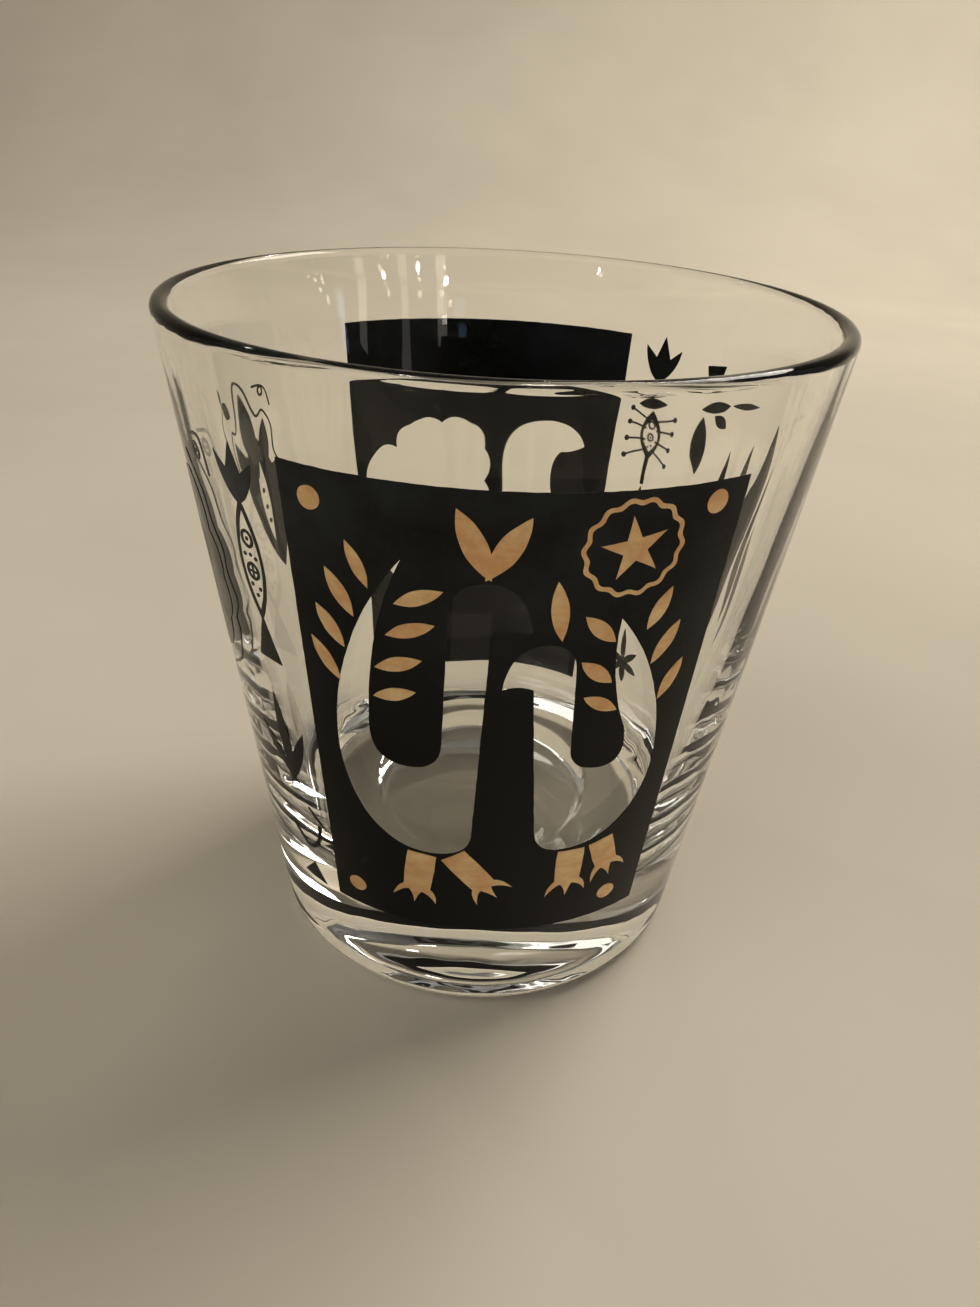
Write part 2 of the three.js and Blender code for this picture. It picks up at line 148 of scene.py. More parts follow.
def spline(points, steps):
    """Points on a Catmull-Rom curve through the given ones."""
    pts = [np.array(p, float) for p in points]
    ends = [2 * pts[0] - pts[1], *pts, 2 * pts[-1] - pts[-2]]
    made = []
    for i in range(steps + 1):
        t = i / steps * (len(pts) - 1)
        k = min(int(t), len(pts) - 2)
        t -= k
        a, b, c, d = ends[k : k + 4]
        square = 2 * a - 5 * b + 4 * c - d
        cube = 3 * b - a - 3 * c + d
        made.append(b + 0.5 * ((c - a) * t + square * t**2 + cube * t**3))
    return made


def stroke(points, width, steps=40, taper=0.0):
    """A drawn line; taper is how much thinner its two ends are."""
    centre = spline(points, steps)
    near, far = [], []
    for i, point in enumerate(centre):
        along = centre[min(i + 1, steps)] - centre[max(i - 1, 0)]
        along /= np.linalg.norm(along) + 1e-9
        half = width / 2 * (1 - taper * abs(2 * i / steps - 1) ** 2)
        side = np.array([-along[1], along[0]]) * half
        near.append(tuple(point + side))
        far.append(tuple(point - side))
    return near + far[::-1], []


def polygon(*points):
    return list(points), []


def scalloped(notches, bulge):
    """Round bumps between notches given clockwise."""
    pen = Pen(*notches[0])
    for (x, y), (nx, ny) in zip(notches, notches[1:] + notches[:1]):
        length = math.dist((x, y), (nx, ny))
        ax, ay = (nx - x) / length, (ny - y) / length
        pen.quad((x + nx) / 2 - ay * bulge, (y + ny) / 2 + ax * bulge, nx, ny)
    return pen.close(), []


def star(x, y, points, outer, inner, turn):
    corners = []
    for i in range(2 * points):
        a = turn + math.pi * i / points
        reach = outer if i % 2 == 0 else inner
        corners.append((x + reach * math.cos(a), y + reach * math.sin(a)))
    return corners, []


def wavy_ring(x, y, radius, band, waves, ripple):
    def edge(offset):
        made = []
        for i in range(12 * waves):
            a = 2 * math.pi * i / (12 * waves)
            reach = radius + offset + ripple * math.cos(waves * a)
            made.append((x + reach * math.cos(a), y + reach * math.sin(a)))
        return made

    return edge(band / 2), [edge(-band / 2)]


def foot(x, y, length, half, tilt):
    """A leg with three curved claws, its top centred on (x, y)."""
    sole = -length
    pen = Pen(-1, 0)
    pen.quad(-1.08, sole / 2, -0.95, sole)
    pen.quad(-1.5, sole - 0.6, -1.6, sole - 1.7).quad(-0.9, sole - 0.5, -0.5, sole - 0.5)
    pen.quad(-0.15, sole - 1, 0, sole - 1.9).quad(0.15, sole - 1, 0.4, sole - 0.5)
    pen.quad(1.1, sole - 0.7, 1.5, sole - 1.6).quad(1.5, sole - 0.4, 0.95, sole)
    pen.quad(1.05, sole / 2, 1, 0)
    c, s = math.cos(tilt), math.sin(tilt)
    return [(x + u * half * c - v * s, y + u * half * s + v * c) for u, v in pen.close()], []


# -------------------------------------------------------------- mesh making


def resample(loop, seed):
    """Evenly spaced points along a loop, each nudged a little like a cut stencil's edge."""
    made = []
    for (x, y), (nx, ny) in zip(loop, loop[1:] + loop[:1]):
        count = max(1, round(math.dist((x, y), (nx, ny)) / PRINT_STEP))
        made += [(x + (nx - x) * i / count, y + (ny - y) * i / count) for i in range(count)]
    wobbled = []
    for x, y in made:
        n = noise.noise_vector(Vector((x * 1.1, y * 1.1, seed)))
        wobbled.append((x + n.x * EDGE_WOBBLE, y + n.y * EDGE_WOBBLE))
    return wobbled


def inside_loop(points, loop):
    x, y = points[:, 0], points[:, 1]
    hit = np.zeros(len(points), bool)
    for (x0, y0), (x1, y1) in zip(loop, loop[1:] + loop[:1]):
        if y0 != y1:
            spans = (y0 > y) != (y1 > y)
            hit ^= spans & (x < (x1 - x0) * (y - y0) / (y1 - y0) + x0)
    return hit


def inside_any(points, shapes):
    found = np.zeros(len(points), bool)
    for outer, holes in shapes:
        here = inside_loop(points, outer)
        for hole in holes:
            here &= ~inside_loop(points, hole)
        found |= here
    return found


def fill(shapes, seed):
    """Flat points and triangles covering the union of the shapes."""
    fine = [(resample(outer, seed), [resample(hole, seed) for hole in holes]) for outer, holes in shapes]
    coords, edges = [], []
    for outer, holes in fine:
        for loop in [outer, *holes]:
            start = len(coords)
            coords += loop
            edges += [(start + i, start + (i + 1) % len(loop)) for i in range(len(loop))]
    low, high = np.min(coords, axis=0), np.max(coords, axis=0)
    across = np.arange(low[0] + CURVE_STEP / 2, high[0], CURVE_STEP)
    up = np.arange(low[1] + CURVE_STEP / 2, high[1], CURVE_STEP)
    if len(across) and len(up):
        grid = np.array([(x, y) for x in across for y in up])
        coords += [tuple(p) for p in grid[inside_any(grid, fine)]]
    made = delaunay_2d_cdt([Vector(p) for p in coords], edges, [], 0, 1e-5)
    points = np.array([tuple(p) for p in made[0]])
    faces = np.array([tuple(f) for f in made[2]])
    faces = faces[inside_any(points[faces].mean(axis=1), fine)]
    used, faces = np.unique(faces, return_inverse=True)
    return points[used], faces.reshape(-1, 3)


def on_wall(points, azimuth, offset):
    """Wraps flat points round the glass, a little off its outer face."""
    z = points[:, 1]
    radius = wall_radius(z)
    angle = math.radians(azimuth) + points[:, 0] / radius
    reach = radius + offset
    return np.stack([reach * np.cos(angle), reach * np.sin(angle), z], axis=1) * MM


def mesh_object(name, vertices, faces):
    mesh = bpy.data.meshes.new(name)
    mesh.from_pydata([tuple(v) for v in vertices], [], [tuple(int(i) for i in f) for f in faces])
    mesh.validate()
    obj = bpy.data.objects.new(name, mesh)
    bpy.context.scene.collection.objects.link(obj)
    return obj


def printed(name, azimuth, layer, shapes):
    """A closed shell of enamel that follows the wall; its name seeds the wobble of its edge."""
    seed = sum(ord(c) for c in name) % 97 * 1.7
    points, faces = fill(shapes, seed)
    count = len(points)
    vertices = np.concatenate([on_wall(points, azimuth, layer[0]), on_wall(points, azimuth, layer[1])])
    directed = {(a, b) for f in faces for a, b in zip(f, np.roll(f, -1))}
    rims = [(a, b) for a, b in directed if (b, a) not in directed]
    polygons = [tuple(f + count) for f in faces] + [tuple(f[::-1]) for f in faces]
    polygons += [(a, b, b + count, a + count) for a, b in sorted(rims)]
    obj = mesh_object(name, vertices, polygons)
    obj.data.shade_smooth()
    obj.data.set_sharp_from_angle(angle=math.radians(40))
    return obj


# ---------------------------------------------------------------- materials


class Nodes:
    """Small helper that adds and links shader nodes."""

    def __init__(self, name):
        self.material = bpy.data.materials.new(name)
        self.material.use_nodes = True
        self.tree = self.material.node_tree
        self.shader = next(n for n in self.tree.nodes if n.type == "BSDF_PRINCIPLED")

    def add(self, kind, **inputs):
        node = self.tree.nodes.new(kind)
        for key, value in inputs.items():
            self.put(node.inputs[key.replace("_", " ")], value)
        return node

    def put(self, socket, value):
        if isinstance(value, bpy.types.NodeSocket):
            self.tree.links.new(value, socket)
        else:
            socket.default_value = value

    def position(self):
        return self.add("ShaderNodeTexCoord").outputs["Object"]

    def stretched(self, scale):
        return self.add("ShaderNodeMapping", Vector=self.position(), Scale=scale).outputs["Vector"]

    def noise(self, vector, scale, detail=4.0, roughness=0.6):
        node = self.add("ShaderNodeTexNoise", Vector=vector, Scale=scale, Detail=detail, Roughness=roughness)
        return node.outputs["Fac"]

    def ramp(self, value, low, high, out_low, out_high):
        node = self.tree.nodes.new("ShaderNodeMapRange")
        self.put(node.inputs["Value"], value)
        for name, number in zip(("From Min", "From Max", "To Min", "To Max"), (low, high, out_low, out_high)):
            node.inputs[name].default_value = number
        return node.outputs["Result"]

    def mix(self, factor, first, second):
        node = self.tree.nodes.new("ShaderNodeMix")
        node.data_type = "RGBA"
        self.put(node.inputs["Factor"], factor)
        self.put(node.inputs[6], first)
        self.put(node.inputs[7], second)
        return node.outputs[2]

    def bump(self, height, strength, distance):
        node = self.add("ShaderNodeBump", Strength=strength, Distance=distance)
        self.put(node.inputs["Height"], height)
        self.put(self.shader.inputs["Normal"], node.outputs["Normal"])

    def set(self, **inputs):
        for key, value in inputs.items():
            self.put(self.shader.inputs[key.replace("_", " ")], value)
        return self.material


def clear_glass():
    """Pressed glass with faint ripples and smudges; its reflections are kept weak for deep blacks."""
    n = Nodes("clear_glass")
    smudge = n.noise(n.stretched((260, 260, 90)), 1.0, 5.0)
    ripple = n.noise(n.stretched((95, 95, 30)), 1.0, 2.0)
    n.bump(ripple, 0.25, 0.0006)
    return n.set(
        Base_Color=(0.985, 0.985, 0.965, 1),
        Roughness=n.ramp(smudge, 0.5, 0.8, 0.004, 0.05),
        Transmission_Weight=1.0,
        IOR=1.51,
        Specular_Tint=(0.5, 0.5, 0.5, 1),
    )


def black_enamel():
    """Glossy black; its upper part carries a thin, mottled grey haze that is painted sheen: it stands in for
    the floor and a window reflected in the enamel.
    """
    n = Nodes("black_enamel")
    cloud = n.noise(n.position(), 260, 4.0)
    sheen_mottle = n.noise(n.position(), 80, 6.0)
    grain = n.noise(n.position(), 4200, 3.0)
    # Painted sheen: towards the top the base colour turns, in mottled patches, to a bluish grey that stands
    # in for reflected light.
    height = n.add("ShaderNodeSeparateXYZ", Vector=n.position()).outputs["Z"]
    painted_sheen = n.add("ShaderNodeMath", Value=n.ramp(height, 0.030, 0.047, 0, 1)).outputs["Value"]
    painted_sheen.node.operation = "MULTIPLY"
    n.put(painted_sheen.node.inputs[1], n.ramp(sheen_mottle, 0.35, 0.68, 0, 1))
    n.bump(grain, 0.12, 0.00003)
    return n.set(
        Base_Color=n.mix(painted_sheen, (0.006, 0.005, 0.0035, 1), (0.042, 0.052, 0.055, 1)),
        Roughness=n.ramp(cloud, 0.35, 0.7, 0.12, 0.30),
        Specular_IOR_Level=0.24,
    )


def gold_enamel():
    """Satin tan-gold print, blotched and faintly brushed."""
    n = Nodes("gold_enamel")
    blotch = n.noise(n.position(), 420, 5.0)
    brush = n.noise(n.stretched((700, 700, 2600)), 1.0, 3.0)
    grain = n.noise(n.position(), 6500, 2.0)
    n.bump(grain, 0.2, 0.00004)
    base = n.mix(n.ramp(blotch, 0.35, 0.7, 0, 1), (0.82, 0.49, 0.24, 1), (1.0, 0.79, 0.47, 1))
    return n.set(
        Base_Color=n.mix(n.ramp(brush, 0.45, 0.75, 0, 0.35), base, (0.66, 0.38, 0.19, 1)),
        Metallic=0.2,
        Roughness=n.ramp(blotch, 0.3, 0.7, 0.36, 0.52),
    )


def pale_floor():
    n = Nodes("pale_floor")
    soft = n.noise(n.position(), 9, 3.0)
    return n.set(
        Base_Color=n.mix(n.ramp(soft, 0.3, 0.7, 0, 1), (0.66, 0.61, 0.52, 1), (0.72, 0.67, 0.57, 1)),
        Roughness=0.85,
    )


MATERIALS = {"clear_glass": clear_glass(), "black_enamel": black_enamel(), "gold_enamel": gold_enamel()}


def finish_piece(obj, slot, *cad_nodes):
    obj.data.materials.append(MATERIALS[slot])
    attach(obj, "root")
    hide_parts(*cad_nodes)


def add_black(name, azimuth, *shapes):
    finish_piece(printed(name + "_print", azimuth, BLACK_LAYER, shapes), "black_enamel", name)


def add_gold(name, azimuth, *shapes):
    finish_piece(printed(name + "_print", azimuth, GOLD_LAYER, shapes), "gold_enamel", name)


# --------------------------------------------------------------- glass body


def arc(r, z, radius, start, end, steps):
    made = []
    for i in range(steps + 1):
        a = math.radians(start + (end - start) * i / steps)
        made.append((r + radius * math.cos(a), z + radius * math.sin(a)))
    return made


def between(first, last, steps):
    return [tuple(np.add(first, np.subtract(last, first) * i / steps)) for i in range(1, steps)]


def eased(steps):
    """Fractions of a span, closer together at both ends so that smooth shading stays true there."""
    return [(1 - math.cos(math.pi * i / steps)) / 2 for i in range(1, steps)]


def inner_radius(z):
    """The wall is even near the lip and thickens more and more towards the base."""
    depth = (WALL_TOP - z) / (WALL_TOP - CORNER_TOP)
    return wall_radius(z) - LIP_WALL - (LOWER_WALL - LIP_WALL) * depth**2


def glass_profile():
    """Half section from the middle of the underside round the lip to the middle of the floor."""
    lip = LIP_WALL / 2
    under = [(BEARING_INNER * i / 10, PUNT_DEPTH * (1 - (i / 10) ** 2)) for i in range(11)]
    heel = arc(wall_radius(HEEL_ROUND) - HEEL_ROUND, HEEL_ROUND, HEEL_ROUND, -90, -WALL_LEAN, 12)
    rim = arc(RIM_RADIUS - lip, WALL_TOP, lip, -WALL_LEAN, 180 - WALL_LEAN, 20)
    wall = [tuple(np.add(heel[-1], np.subtract(rim[0], heel[-1]) * part)) for part in eased(WALL_RINGS)]
    outside = [*between(under[-1], heel[0], 4), *heel, *wall, *rim]
    heights = [WALL_TOP + (CORNER_TOP - WALL_TOP) * part for part in eased(WALL_RINGS)]
    inside = [(inner_radius(z), z) for z in heights]
    ledge = FLOOR_HEIGHT + STEP_RISE
    foot_radius = inner_radius(CORNER_TOP)
    lean = (inner_radius(CORNER_TOP + 0.1) - foot_radius) / 0.1
    pole = foot_radius - lean * (CORNER_TOP - ledge)
    middle = (STEP_INNER + STEP_OUTER) / 2
    bottom = Pen(foot_radius, CORNER_TOP).quad(pole, ledge, STEP_OUTER, ledge)
    bottom.cubic(middle, ledge, middle, FLOOR_HEIGHT, STEP_INNER, FLOOR_HEIGHT, 14)
    inside += [*bottom.points, *between(bottom.points[-1], (0, FLOOR_HEIGHT), 8)]
    return under + outside + inside + [(0, FLOOR_HEIGHT)], len(under) + len(outside)


def glass_body():
    """The profile turned round the axis; its two ends close at a point."""
    profile, inner_start = glass_profile()
    vertices, faces = [], []
    rings = []
    for k, (r, z) in enumerate(profile):
        if r < 1e-9:
            rings.append([len(vertices)] * LATHE_SIDES)
            vertices.append((0, 0, z * MM))
            continue
        ring = []
        for i in range(LATHE_SIDES):
            a = 2 * math.pi * i / LATHE_SIDES
            reach = r
            if k >= inner_start:
                sway = noise.noise(Vector((math.cos(a) * 2.2, math.sin(a) * 2.2, z * 0.035)))
                reach += INSIDE_SWAY * sway * min(1, r / 8)
            ring.append(len(vertices))
            vertices.append((reach * math.cos(a) * MM, reach * math.sin(a) * MM, z * MM))
        rings.append(ring)
    for low, high in zip(rings, rings[1:]):
        for i in range(LATHE_SIDES):
            j = (i + 1) % LATHE_SIDES
            corners = [low[i], low[j], high[j], high[i]]
            face = [v for n, v in enumerate(corners) if v not in corners[:n]]
            faces.append(face)
    obj = mesh_object("glass_body_clear", vertices, faces)
    obj.data.shade_smooth()
    finish_piece(obj, "clear_glass", "glass_body")


# ------------------------------------------------------------- black panels


def panel_outline(top):
    return [
        (-PANEL_BOTTOM_HALF, PANEL_BOTTOM),
        (PANEL_BOTTOM_HALF, PANEL_BOTTOM),
        (PANEL_TOP_HALF, top),
        (-PANEL_TOP_HALF, top),
    ]


def tall_bird():
    """A plain long-necked bird facing right: round head, small beak, bowl of a body, crescent tail."""
    pen = Pen(-6.9, 44.9)
    pen.cubic(-9.6, 41.5, -12.1, 35.6, -12.1, 29.8).cubic(-12.1, 24, -9.2, 19.2, -4.8, 19.2)
    pen.quad(-1.8, 19.2, -1.7, 21.6).line(-1.1, 40.1).quad(0.4, 40.5, 1.5, 40.2)
    pen.quad(1, 43.8, -1.4, 43.8).quad(-3.9, 43.8, -3.9, 41).line(-4.1, 30.2)
    pen.quad(-4.3, 27.9, -6.6, 27.9).quad(-9.3, 27.9, -9.4, 31).quad(-9.4, 39.5, -6.9, 44.9)
    return pen.close()


def short_bird():
    """Its shorter companion facing left."""
    pen = Pen(-0.2, 35.6)
    pen.quad(0.9, 36.1, 1.9, 35.6).line(3, 22).quad(3.2, 19.7, 5.4, 19.7)
    pen.cubic(9.2, 19.7, 12.1, 23.2, 12.1, 27.6).cubic(12.1, 32.8, 10, 38, 7.3, 41)
    pen.quad(7, 36, 8.9, 31.5).quad(9.7, 28, 7.4, 28).quad(5.1, 28, 5, 30.2).line(4.7, 36.8)
    pen.quad(4.6, 39.3, 2.6, 39.3).quad(0.2, 39.3, -0.2, 35.6)
    return pen.close()


def rear_bird():
    """A bird of the same kind facing the other way; only its head and neck show over the front panel."""
    pen = Pen(-11.3, 37.8)
    pen.quad(-10.6, 40, -7.4, 40).cubic(-4.2, 40, -2.2, 38.8, -2.1, 35)
    pen.line(-2.7, 26).quad(-2.9, 22.4, -6, 22.4).cubic(-10, 22.4, -11.6, 23.6, -11.3, 26.4)
    pen.cubic(-11, 28.8, -8, 30, -7.8, 33.6).quad(-7.7, 36, -8.7, 36.8).quad(-10, 36.9, -11.3, 37.8)
    return pen.close()


def rear_crown():
    """A lumpy tree crown."""
    notches = [
        (-0.4, 24.4), (-0.6, 28.8), (-0.2, 33), (-0.1, 36.6), (1.5, 39.3), (4.9, 39.3), (8.4, 39.2),
        (9.9, 36.9), (12.6, 36.4), (13, 32.6), (12.7, 28.6), (11.2, 24), (7.6, 21.5), (2.5, 21.5),
    ]
    return scalloped(notches, 1.3)[0]


def add_panels():
    add_black("front_panel_black", FRONT, (panel_outline(PANEL_TOP), [tall_bird(), short_bird()]))
    add_black("rear_panel_black", REAR, (panel_outline(REAR_PANEL_TOP), [rear_bird(), rear_crown()]))


# --------------------------------------------------------------------- gold


def add_front_gold():
    for i, (x, y) in enumerate([(-13, 47.9), (12.9, 48.6), (-11.1, 13.1), (10.1, 13.1)]):
        add_gold(f"front_corner_dot_{i + 1}", FRONT, disc(x, y, DOT_RADIUS))
    add_gold("tall_bird_crest", FRONT, leaf(-1.3, 44, -3.6, 48.8, 1.6), leaf(-1.7, 44, 0.9, 48.4, 1.6))
    add_gold("short_bird_crest", FRONT, leaf(3.4, 39.6, 2.8, 44.1, 1.2))
    add_gold("sun_ring", FRONT, wavy_ring(7.4, 46.1, 3.2, 0.34, 14, 0.11))
    add_gold("sun_star", FRONT, star(7.4, 46.1, 5, 2.3, 0.85, 1.75))
    sprays = {
        "tall_bird_outer_leaf": [
            (-9.1, 42.4, -10.6, 45.6, 0.95), (-10.2, 40, -12.2, 43.3, 1.15),
            (-11, 37.3, -13.1, 40.3, 1.15), (-11.5, 34.4, -13.7, 37.5, 1.1),
        ],
        "tall_bird_inner_leaf": [
            (-7.4, 41.6, -4.2, 43, 1.1), (-8, 39.1, -4.7, 40.4, 1.1),
            (-8.8, 36.3, -5.5, 37.5, 1.15), (-9, 33.8, -5.9, 34.8, 1.05),
        ],
        "short_bird_inner_leaf": [
            (7.1, 39.2, 4.8, 41.4, 1.1), (7.3, 35.8, 4.9, 37.8, 1.15), (8, 33.3, 5.4, 34.8, 1.1),
        ],
        "short_bird_outer_leaf": [
            (9.3, 39.8, 10.7, 42.9, 1.1), (10.1, 36.8, 11.9, 40.1, 1.1), (11.3, 33.4, 12.9, 36.7, 1.1),
        ],
    }
    for name, leaves in sprays.items():
        for i, values in enumerate(leaves):
            add_gold(f"{name}_{i + 1}", FRONT, leaf(*values))
    add_gold("tall_bird_foot_1", FRONT, foot(-5.4, 19, 4.0, 1.15, -0.1))
    add_gold("tall_bird_foot_2", FRONT, foot(-3, 19.3, 4.0, 1.1, 0.66))
    add_gold("short_bird_foot_1", FRONT, foot(6.2, 19.5, 3.5, 1.1, 0))
    add_gold("short_bird_foot_2", FRONT, foot(8.7, 19.9, 3.0, 1.05, 0.28))


def add_rear_gold():
    for i, (x, y) in enumerate([(-12.9, 48.1), (12.9, 48.1), (-11.1, 12.8), (11.1, 12.8)]):
        add_gold(f"rear_corner_dot_{i + 1}", REAR, disc(x, y, DOT_RADIUS))
    add_gold("rear_tree_trunk", REAR, polygon((4.7, 12.6), (6.7, 12.6), (6.2, 20.4), (5.2, 20.4)))


# --------------------------------------------------------- side decorations


def tulip():
    pen = Pen(0, 45.6)
    pen.quad(1.6, 46.4, 2, 48.9).line(0.7, 47.9).line(0, 49.9).line(-0.9, 47.9).line(-2.1, 48.9)
    pen.quad(-1.7, 46.4, 0, 45.6)
    return pen.close(), []


def pod_ring(bottom, top, width, band):
    """An upright pointed oval ring between two heights."""
    outer, _ = leaf(0, bottom, 0, top, width)
    inner, _ = leaf(0, bottom + 3 * band, 0, top - 3 * band, width - 2 * band)
    return outer, [inner]


def seed_dots(centres, radius=0.16):
    return [disc(x, y, radius) for x, y in centres]


def add_pillars():
    band = 0.28
    add_black(
        "front_pillar_flower", FRONT_PILLAR, tulip(), pod_ring(36.6, 46.1, 2.7, band),
        disc(0, 43.1, 0.7, 0.45), disc(0, 43.1, 0.16), disc(0, 40.6, 0.7, 0.45),
        stroke([(-0.6, 40.6), (0.6, 40.6)], 0.16, 6), stroke([(0, 40), (0, 41.2)], 0.16, 6),
        *seed_dots([(-0.6, 41.8), (0.6, 41.7), (0.05, 41.9), (-0.4, 39.5), (0.45, 39.3), (0, 38.7)]),
        polygon((-1.3, 33.3), (1.3, 33.3), (0, 37.1)),
    )
    add_black(
        "front_pillar_fan", FRONT_PILLAR, leaf(0, 21.4, -0.7, 30, 1.3),
        leaf(0.6, 21.2, -3.5, 25.8, 0.9), leaf(-0.5, 21, 2.1, 27.2, 1.1),
    )
    hook = stroke([(-1.8, 16.1), (0.2, 14.4), (1.6, 15.6), (2.1, 17.6)], 0.4)
    add_black("front_pillar_hook", FRONT_PILLAR, hook)
    add_black("front_pillar_base", FRONT_PILLAR, polygon((-1.3, 10.4), (1.6, 10.4), (0.4, 12.4)))
    stem = stroke([(0, 46), (-0.2, 44.9), (-0.5, 43.7)], 0.35, 12)
    add_black("rear_pillar_tulip", REAR_PILLAR, tulip(), stem, leaf(-2.25, 43.9, 1.3, 43.2, 1))
    pins = []
    for side in (-1, 1):
        for y, rise in ((42, 0.7), (41.1, 0.2), (40, -0.4), (39, -1.1)):
            line = [(side * 0.6, y), (side * 1.7, y + rise / 2), (side * 2.7, y + rise)]
            pins.append(stroke(line, 0.18, 12))
            pins.append(disc(side * 2.7, y + rise, 0.27))
    add_black(
        "rear_pillar_pod", REAR_POD, pod_ring(38, 42.9, 2.4, 0.28), *pins,
        stroke([(0, 38.5), (0.1, 36.8), (0, 35.4)], 0.5, 12),
        disc(0, 41.5, 0.42, 0.25), disc(0, 40.3, 0.42, 0.25),
        *seed_dots([(0, 40.3), (-0.2, 39.5), (0.2, 39.3), (0, 42.05)], 0.1),
    )
    add_black("rear_pillar_stand", REAR_POD, polygon((-1.4, 31.6), (1.4, 31.6), (0, 35.2)))


def add_left_side():
    """A hand-shaped leaf and a round cloud, each with a contour line, a sprig and two hooks."""
    palm, _ = leaf(-1.7, 28.6, -0.4, 42.4, 5)
    eye, _ = leaf(-1, 31.4, -0.7, 40, 1.5)
    add_black(
        "hand_leaf", LEFT_SIDE, (palm, [eye]), leaf(-2, 36.8, -3.4, 38.7, 1.1),
        leaf(-1.6, 38, -2.7, 42.9, 1.5), leaf(-0.4, 37.8, 0.1, 45.7, 1.9), leaf(0.6, 38, 2.3, 42, 1.3),
        *seed_dots([(-1, 33.6), (-0.9, 35), (-0.8, 36.6)], 0.24),
    )
    contour = [
        (-4.7, 38), (-3.6, 39.6), (-3.9, 42), (-2.8, 43.6), (-1.6, 43.4), (-0.4, 46.2),
        (0.7, 46.4), (1.5, 42.8), (2.8, 43), (3.1, 41.4), (2.1, 38.8),
    ]
    add_black("hand_leaf_contour", LEFT_SIDE, stroke(contour, 0.2, 110))
    add_black(
        "side_sprig", LEFT_SIDE, leaf(2.4, 44.3, 5.3, 46, 1.3), leaf(5.1, 45.9, 5.9, 47.4, 0.7),
        stroke([(5.2, 45.9), (6.4, 44.2), (5.2, 42), (5, 40.4)], 0.35, 24, 0.6),
    )
    add_black(
        "side_small_hook", LEFT_SIDE, stroke([(-1.8, 45.9), (-3, 45.8), (-4.1, 45.2), (-4.5, 43.7)], 0.2),
        disc(-3.05, 45.3, 0.5, 0.28),
    )
    hook = stroke([(3.7, 48.7), (5.5, 49.1), (6.1, 48.3), (6.3, 46.4)], 0.25)
    add_black("side_hook", LEFT_CLOUD, hook)
    add_black("side_hook_ring", LEFT_CLOUD, disc(4.8, 47.8, 0.65, 0.35), disc(4.8, 47.8, 0.14))
    notches = [
        (0, 30), (-3.6, 33.4), (-4.4, 38.6), (-2.6, 43), (1, 45.4), (3.1, 41.3), (4.1, 37.8), (3.3, 34),
    ]
    add_black("side_cloud", LEFT_CLOUD, scalloped(notches, 1.5))
    line = [
        (0.2, 28.4), (3.6, 30.6), (5, 33.8), (4.9, 34.9), (5.9, 36.6), (5.2, 38.8),
        (5.4, 40.6), (4.4, 42.4), (3.8, 44.8), (1.6, 47),
    ]
    add_black("side_cloud_contour", LEFT_CLOUD, stroke(line, 0.22, 90))


def burst(x, y, reach, width):
    """Six leaves round a point, one of them longer."""
    made = []
    for i in range(6):
        a = math.radians(60 * i + 15)
        far = reach * (1.7 if i == 1 else 1)
        c, s = math.cos(a), math.sin(a)
        made.append(leaf(x - 0.3 * c, y - 0.3 * s, x + far * c, y + far * s, width))
    return made


def add_right_side():
    """Tall blades, loose leaves under a blunt one, and a burst of leaves low on the wall."""
    blades = [
        (-5.4, 21.5, -6.9, 46.3, 2.6), (-2.5, 20, -4.2, 43.6, 2.2), (-8.2, 28, -8.7, 43.2, 1.1),
        (-9.6, 26, -10.1, 38.3, 1.3), (-0.3, 31, -0.1, 41.9, 1.1),
    ]
    for i, values in enumerate(blades):
        add_black(f"side_blade_{i + 1}", RIGHT_SIDE, leaf(*values))
    leaves = [
        (4.5, 43.8, 4.2, 38.4, 1.3), (3.3, 44.3, 1.7, 43.6, 1.1), (4.9, 44.4, 1.8, 45.65, 1),
        (1.5, 45.75, -3, 46.8, 0.6),
    ]
    for i, values in enumerate(leaves):
        add_black(f"side_loose_leaf_{i + 1}", RIGHT_SIDE, leaf(*values))
    blunt = polygon((5.7, 46.2), (6.5, 48.3), (4.2, 48.7), (4.6, 46.4))
    add_black("side_blunt_leaf", RIGHT_SIDE, blunt)
    add_black("side_burst", RIGHT_SIDE, *burst(6.3, 15.6, 2.4, 0.8))


# -------------------------------------------------------------------- stage

CAMERA_AZIMUTH = -93.0
CAMERA_ELEVATION = 42.3
CAMERA_DISTANCE = 0.1024
CAMERA_ROLL = 3.1
CAMERA_TARGET = Vector((0.0002, 0, 0.0245))
CAMERA_LENS = 25.9
FLOOR_GAP = 0.0002  # the glass stands on the tops of the cloth's threads


def add_camera():
    data = bpy.data.cameras.new("camera")
    data.lens = CAMERA_LENS
    data.sensor_width = 36
    data.clip_start = 0.005
    data.clip_end = 20
    camera = bpy.data.objects.new("camera", data)
    bpy.context.scene.collection.objects.link(camera)
    a, e = math.radians(CAMERA_AZIMUTH), math.radians(CAMERA_ELEVATION)
    direction = Vector((math.cos(a) * math.cos(e), math.sin(a) * math.cos(e), math.sin(e)))
    camera.location = direction * CAMERA_DISTANCE
    look = (CAMERA_TARGET - camera.location).to_track_quat("-Z", "Y").to_matrix()
    camera.rotation_euler = (look @ Matrix.Rotation(math.radians(CAMERA_ROLL), 3, "Z")).to_euler()
    bpy.context.scene.camera = camera


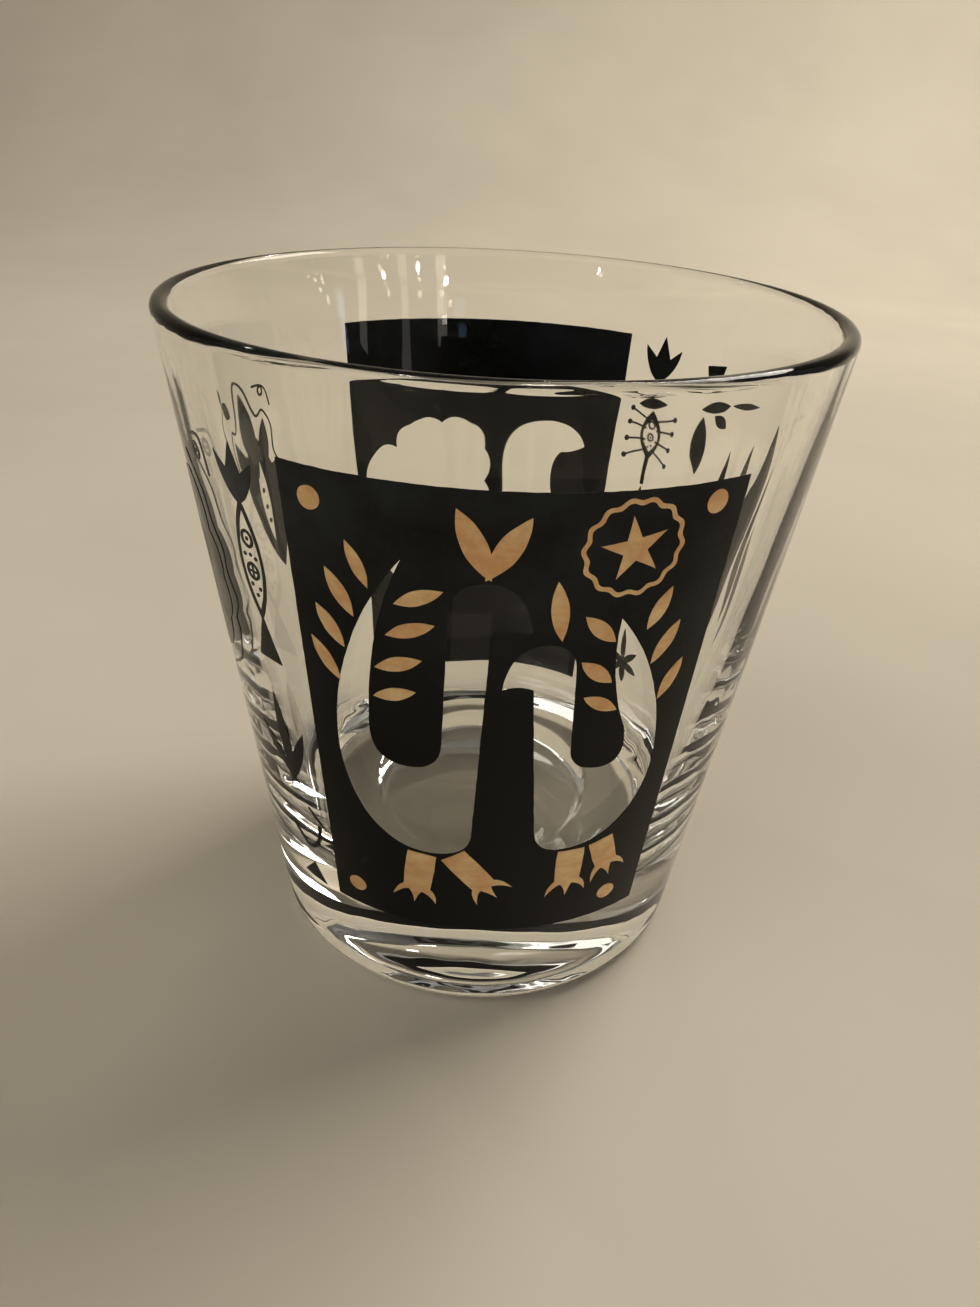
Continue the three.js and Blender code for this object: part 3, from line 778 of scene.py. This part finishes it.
def add_backdrop():
    """A plain floor that curves up into a wall behind the glass."""
    half_width, near, far, bend, top = 1.6, -0.9, 0.35, 0.30, 1.4
    path = [(near + (far - near) * i / 12, -FLOOR_GAP) for i in range(13)]
    for i in range(1, 17):
        a = math.pi / 2 * i / 16
        path.append((far + bend * math.sin(a), bend * (1 - math.cos(a)) - FLOOR_GAP))
    path.append((far + bend, top))
    columns = [half_width * (i / 12 - 0.5) * 2 for i in range(13)]
    vertices = [(x, y, z) for y, z in path for x in columns]
    faces = []
    for row in range(len(path) - 1):
        for col in range(12):
            start = row * 13 + col
            faces.append((start, start + 1, start + 14, start + 13))
    floor = mesh_object("backdrop", vertices, faces)
    floor.data.shade_smooth()
    floor.data.materials.append(pale_floor())


def add_area(name, location, target, size, power, colour):
    data = bpy.data.lights.new(name, "AREA")
    data.shape = "RECTANGLE"
    data.size, data.size_y = size
    data.energy = power
    data.color = colour
    light = bpy.data.objects.new(name, data)
    bpy.context.scene.collection.objects.link(light)
    light.location = location
    light.rotation_euler = (Vector(target) - Vector(location)).to_track_quat("-Z", "Y").to_euler()


def add_room_glints(warm, cool):
    """Low windows and bulbs of the room, small and weak, that the inside of the rear wall mirrors."""
    window_distance, bulb_distance, middle = 0.8, 1.5, (0, 0, 0.05)
    windows = [(-75, 0.06, 0.05, 0.02, cool), (-21, 0.05, 0.04, 0.02, cool), (-30, 0.10, 0.12, 0.045, warm)]
    windows += [(-50, 0.10, 0.14, 0.045, warm), (-66, 0.12, 0.10, 0.045, warm)]
    for i, (azimuth, height, tall, power, colour) in enumerate(windows):
        a = math.radians(azimuth)
        spot = (window_distance * math.cos(a), window_distance * math.sin(a), height)
        add_area(f"window_{i + 1}", spot, middle, (0.05, tall), power, colour)
    bulbs = [(-9, 0.10), (-12, 0.09), (-14, 0.07), (-41, 0.145), (-43, 0.13), (-57, 0.17)]
    bulbs += [(-58, 0.15), (-68, 0.17), (-69, 0.14), (-67, 0.12), (-130, 0.18)]
    for i, (azimuth, height) in enumerate(bulbs):
        a = math.radians(azimuth)
        spot = (bulb_distance * math.cos(a), bulb_distance * math.sin(a), height)
        add_area(f"bulb_{i + 1}", spot, middle, (0.04, 0.010), 0.10, warm)


def add_lights():
    warm = (1.0, 0.95, 0.87)
    cool = (0.45, 0.68, 1.0)
    add_area("key", (0.48, 0.34, 0.66), (0.02, 0.03, 0.02), (0.45, 0.35), 4.2, warm)
    add_area("fill", (-0.45, -0.35, 0.55), (0, 0, 0.02), (0.6, 0.6), 1.1, warm)
    add_area("lamp_left", (-0.24, 0.20, 0.34), (0, 0, 0.05), (0.012, 0.012), 0.05, warm)
    add_area("lamp_back", (0.06, 0.42, 0.42), (0, 0, 0.05), (0.014, 0.014), 0.06, warm)
    add_area("lamp_right", (0.30, 0.05, 0.40), (0, 0, 0.05), (0.012, 0.012), 0.05, warm)
    add_room_glints(warm, cool)
    add_world()


def add_world():
    """A soft sky that is bright above and behind the glass and dim in front of it."""
    world = bpy.data.worlds.new("studio")
    world.use_nodes = True
    nodes, links = world.node_tree.nodes, world.node_tree.links
    background = nodes["Background"]
    background.inputs["Color"].default_value = (1.0, 0.96, 0.88, 1)
    direction = nodes.new("ShaderNodeTexCoord")
    facing = nodes.new("ShaderNodeVectorMath")
    facing.operation = "DOT_PRODUCT"
    facing.inputs[1].default_value = (0, 0.8, 0.6)
    links.new(direction.outputs["Generated"], facing.inputs[0])
    strength = nodes.new("ShaderNodeMapRange")
    strength.inputs["From Min"].default_value = -0.45
    strength.inputs["From Max"].default_value = 0.5
    strength.inputs["To Min"].default_value = 0.03
    strength.inputs["To Max"].default_value = 0.28
    links.new(facing.outputs["Value"], strength.inputs["Value"])
    links.new(strength.outputs["Result"], background.inputs["Strength"])
    bpy.context.scene.world = world


def set_tone_and_light_paths():
    """Deep darks; light is guided many times inside the lip and the base before it leaves."""
    scene = bpy.context.scene
    scene.view_settings.view_transform = "Standard"
    scene.view_settings.gamma = 0.82
    scene.view_settings.exposure = 0.2
    scene.cycles.max_bounces = 32
    scene.cycles.glossy_bounces = 32
    scene.cycles.transmission_bounces = 32


glass_body()
add_panels()
add_front_gold()
add_rear_gold()
add_pillars()
add_left_side()
add_right_side()
add_camera()
add_backdrop()
add_lights()
set_tone_and_light_paths()
